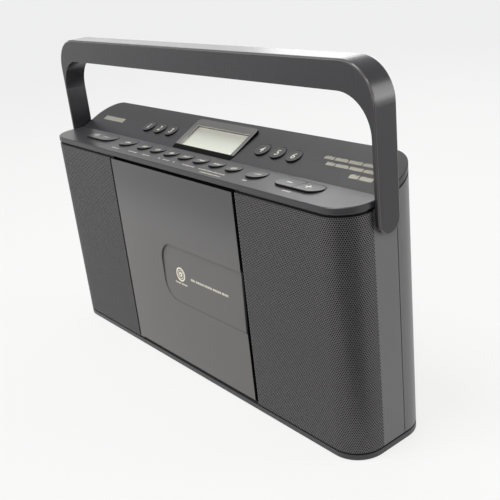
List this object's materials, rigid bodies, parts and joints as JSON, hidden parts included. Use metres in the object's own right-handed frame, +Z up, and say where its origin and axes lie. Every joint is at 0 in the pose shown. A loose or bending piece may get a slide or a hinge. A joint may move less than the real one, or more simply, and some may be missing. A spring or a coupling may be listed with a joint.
{
  "type": "portable cd radio",
  "caption": "Slim upright boombox: square hinged disc door between wrap-round speaker grilles, sloped key deck with display, folding full-width handle.",
  "frame": {"origin": "middle of the footprint, on the surface that the rubber feet stand on", "axes": "+X to the right seen from the front, +Y to the back, +Z up; the disc door faces -Y"},
  "size_m": [0.3516, 0.065, 0.2395],
  "materials": {
    "case_plastic": "fine texture, charcoal",
    "cap_plastic": "satin, charcoal",
    "door_panel": "satin, charcoal",
    "handle_plastic": "fine texture, charcoal",
    "key_plastic": "satin, charcoal",
    "grille_metal": "perforated, satin black",
    "foot_rubber": "matt",
    "display_window": "clear with a grey tint",
    "display_glass": "pale grey-green",
    "circuit_board": "solder mask",
    "black_plastic": "moulded",
    "white_plastic": "moulded, self-lubricating",
    "steel": "zinc plated",
    "zinc_metal": "plated pressed steel",
    "bright_metal": "polished",
    "cone_paper": "pressed paper",
    "lens_glass": "coated",
    "transformer_iron": "varnished laminations"
  },
  "bodies": {
    "case": {"ac_inlet": "black_plastic", "base_plate": "cap_plastic", "battery_contacts": "bright_metal", "board_parts": "black_plastic", "board_screws": "steel", "cd_deck": "black_plastic", "deck_screws": "steel", "display_lens": "display_window", "door_catch": "steel", "door_pins": "steel", "feet": "foot_rubber", "front_shell": "case_plastic", "grille_left": "grille_metal", "grille_right": "grille_metal", "guide_rods": "steel", "headphone_jack": "black_plastic", "key_boards": "circuit_board", "key_switches": "black_plastic", "lcd_panel": "display_glass", "main_board": "circuit_board", "rear_screws": "steel", "rear_shell": "case_plastic", "sled_motor": "zinc_metal", "speaker_cones": "cone_paper", "speaker_frames": "zinc_metal", "speaker_magnets": "zinc_metal", "speaker_screws": "steel", "spindle_motor": "zinc_metal", "top_cap": "cap_plastic", "transformer": "transformer_iron"},
    "door": {"door": "door_panel"},
    "handle": {"handle": "handle_plastic", "handle_retainers": "steel"},
    "disc_hub": {"disc_hub": "black_plastic"},
    "pickup_sled": {"pickup_sled": "black_plastic", "pickup_lens": "lens_glass"},
    "sled_gear": {"sled_gear": "white_plastic"},
    "motor_gear": {"motor_gear": "white_plastic"},
    "battery_cover": {"battery_cover": "case_plastic"},
    "aerial_knuckle": {"aerial_knuckle": "bright_metal"},
    "aerial_tube_1": {"aerial_tube_1": "bright_metal"},
    "aerial_tube_2": {"aerial_tube_2": "bright_metal"},
    "aerial_tube_3": {"aerial_tube_3": "bright_metal"},
    "key_back": {"key_back": "key_plastic"},
    "key_band": {"key_band": "key_plastic"},
    "key_bass": {"key_bass": "key_plastic"},
    "key_forward": {"key_forward": "key_plastic"},
    "key_function": {"key_function": "key_plastic"},
    "key_memory": {"key_memory": "key_plastic"},
    "key_mode": {"key_mode": "key_plastic"},
    "key_play": {"key_play": "key_plastic"},
    "key_power": {"key_power": "key_plastic"},
    "key_preset_1": {"key_preset_1": "key_plastic"},
    "key_preset_2": {"key_preset_2": "key_plastic"},
    "key_preset_3": {"key_preset_3": "key_plastic"},
    "key_preset_4": {"key_preset_4": "key_plastic"},
    "key_preset_5": {"key_preset_5": "key_plastic"},
    "key_preset_6": {"key_preset_6": "key_plastic"},
    "key_stop": {"key_stop": "key_plastic"},
    "key_volume": {"key_volume": "key_plastic"}
  },
  "joints": [
    {"name": "door_hinge", "type": "hinge", "parent": "case", "child": "door", "pos_m": [-0.0725, -0.03, 0.08285], "axis": [0, 0, -1], "range_deg": [0, 88]},
    {"name": "handle_swing", "type": "hinge", "parent": "case", "child": "handle", "pos_m": [0, -0.00095, 0.152], "axis": [-1, 0, 0], "range_deg": [0, 140]},
    {"name": "hub_spin", "type": "hinge", "parent": "case", "child": "disc_hub", "pos_m": [0, -0.0227, 0.08285], "axis": [0, -1, 0], "continuous": true},
    {"name": "sled_travel", "type": "slide", "parent": "case", "child": "pickup_sled", "axis": [1, 0, 0], "range_m": [0, 0.032]},
    {"name": "sled_gear_turn", "type": "hinge", "parent": "case", "child": "sled_gear", "pos_m": [0.033, -0.0115, 0.05885], "axis": [0, 1, 0], "range_deg": [-2, 384]},
    {"name": "motor_gear_turn", "type": "hinge", "parent": "case", "child": "motor_gear", "pos_m": [0.01922, -0.0085, 0.05243], "axis": [0, 1, 0], "range_deg": [-1073.5, 4]},
    {"name": "cover_hinge", "type": "hinge", "parent": "case", "child": "battery_cover", "pos_m": [0, 0.031, 0.0119], "axis": [-1, 0, 0], "range_deg": [0, 75]},
    {"name": "aerial_swivel", "type": "hinge", "parent": "case", "child": "aerial_knuckle", "pos_m": [0.044, 0.0279, 0.155], "axis": [1, 0, 0], "range_deg": [0, 60]},
    {"name": "aerial_tilt", "type": "hinge", "parent": "aerial_knuckle", "child": "aerial_tube_1", "pos_m": [0.044, 0.0279, 0.155], "axis": [0, 0, -1], "range_deg": [0, 90]},
    {"name": "aerial_pull_1", "type": "slide", "parent": "aerial_tube_1", "child": "aerial_tube_2", "axis": [-1, 0, 0], "range_m": [0, 0.145]},
    {"name": "aerial_pull_2", "type": "slide", "parent": "aerial_tube_2", "child": "aerial_tube_3", "axis": [-1, 0, 0], "range_m": [0, 0.145]},
    {"name": "key_back_press", "type": "slide", "parent": "case", "child": "key_back", "axis": [0, 0, -1], "range_m": [0, 0.0008], "stiffness_N_per_m": 1500, "springref_m": -0.0003},
    {"name": "key_band_press", "type": "slide", "parent": "case", "child": "key_band", "axis": [0, 0, -1], "range_m": [0, 0.0008], "stiffness_N_per_m": 1500, "springref_m": -0.0003},
    {"name": "key_bass_press", "type": "slide", "parent": "case", "child": "key_bass", "axis": [0, 0, -1], "range_m": [0, 0.0008], "stiffness_N_per_m": 1500, "springref_m": -0.0003},
    {"name": "key_forward_press", "type": "slide", "parent": "case", "child": "key_forward", "axis": [0, 0, -1], "range_m": [0, 0.0008], "stiffness_N_per_m": 1500, "springref_m": -0.0003},
    {"name": "key_function_press", "type": "slide", "parent": "case", "child": "key_function", "axis": [0, 0, -1], "range_m": [0, 0.0008], "stiffness_N_per_m": 1500, "springref_m": -0.0003},
    {"name": "key_memory_press", "type": "slide", "parent": "case", "child": "key_memory", "axis": [0, 0, -1], "range_m": [0, 0.0008], "stiffness_N_per_m": 1500, "springref_m": -0.0003},
    {"name": "key_mode_press", "type": "slide", "parent": "case", "child": "key_mode", "axis": [0, 0, -1], "range_m": [0, 0.0008], "stiffness_N_per_m": 1500, "springref_m": -0.0003},
    {"name": "key_play_press", "type": "slide", "parent": "case", "child": "key_play", "axis": [0, 0, -1], "range_m": [0, 0.0008], "stiffness_N_per_m": 1500, "springref_m": -0.0003},
    {"name": "key_power_press", "type": "slide", "parent": "case", "child": "key_power", "axis": [0, 0, -1], "range_m": [0, 0.0008], "stiffness_N_per_m": 1500, "springref_m": -0.0003},
    {"name": "key_preset_1_press", "type": "slide", "parent": "case", "child": "key_preset_1", "axis": [0, 0.4226, -0.9063], "range_m": [0, 0.0008], "stiffness_N_per_m": 1500, "springref_m": -0.0003},
    {"name": "key_preset_2_press", "type": "slide", "parent": "case", "child": "key_preset_2", "axis": [0, 0.4226, -0.9063], "range_m": [0, 0.0008], "stiffness_N_per_m": 1500, "springref_m": -0.0003},
    {"name": "key_preset_3_press", "type": "slide", "parent": "case", "child": "key_preset_3", "axis": [0, 0.4226, -0.9063], "range_m": [0, 0.0008], "stiffness_N_per_m": 1500, "springref_m": -0.0003},
    {"name": "key_preset_4_press", "type": "slide", "parent": "case", "child": "key_preset_4", "axis": [0, 0.4226, -0.9063], "range_m": [0, 0.0008], "stiffness_N_per_m": 1500, "springref_m": -0.0003},
    {"name": "key_preset_5_press", "type": "slide", "parent": "case", "child": "key_preset_5", "axis": [0, 0.4226, -0.9063], "range_m": [0, 0.0008], "stiffness_N_per_m": 1500, "springref_m": -0.0003},
    {"name": "key_preset_6_press", "type": "slide", "parent": "case", "child": "key_preset_6", "axis": [0, 0.4226, -0.9063], "range_m": [0, 0.0008], "stiffness_N_per_m": 1500, "springref_m": -0.0003},
    {"name": "key_stop_press", "type": "slide", "parent": "case", "child": "key_stop", "axis": [0, 0, -1], "range_m": [0, 0.0008], "stiffness_N_per_m": 1500, "springref_m": -0.0003},
    {"name": "key_volume_rock", "type": "hinge", "parent": "case", "child": "key_volume", "pos_m": [0.117, -0.0127, 0.1633], "axis": [0, 1, 0], "range_deg": [-2.5, 2.5], "stiffness_Nm_per_rad": 0.4}
  ],
  "couplings": [
    {"joint": "sled_gear_turn", "follows": "sled_travel", "rad_per_m": 208.33},
    {"joint": "motor_gear_turn", "follows": "sled_travel", "rad_per_m": -583.33}
  ]
}
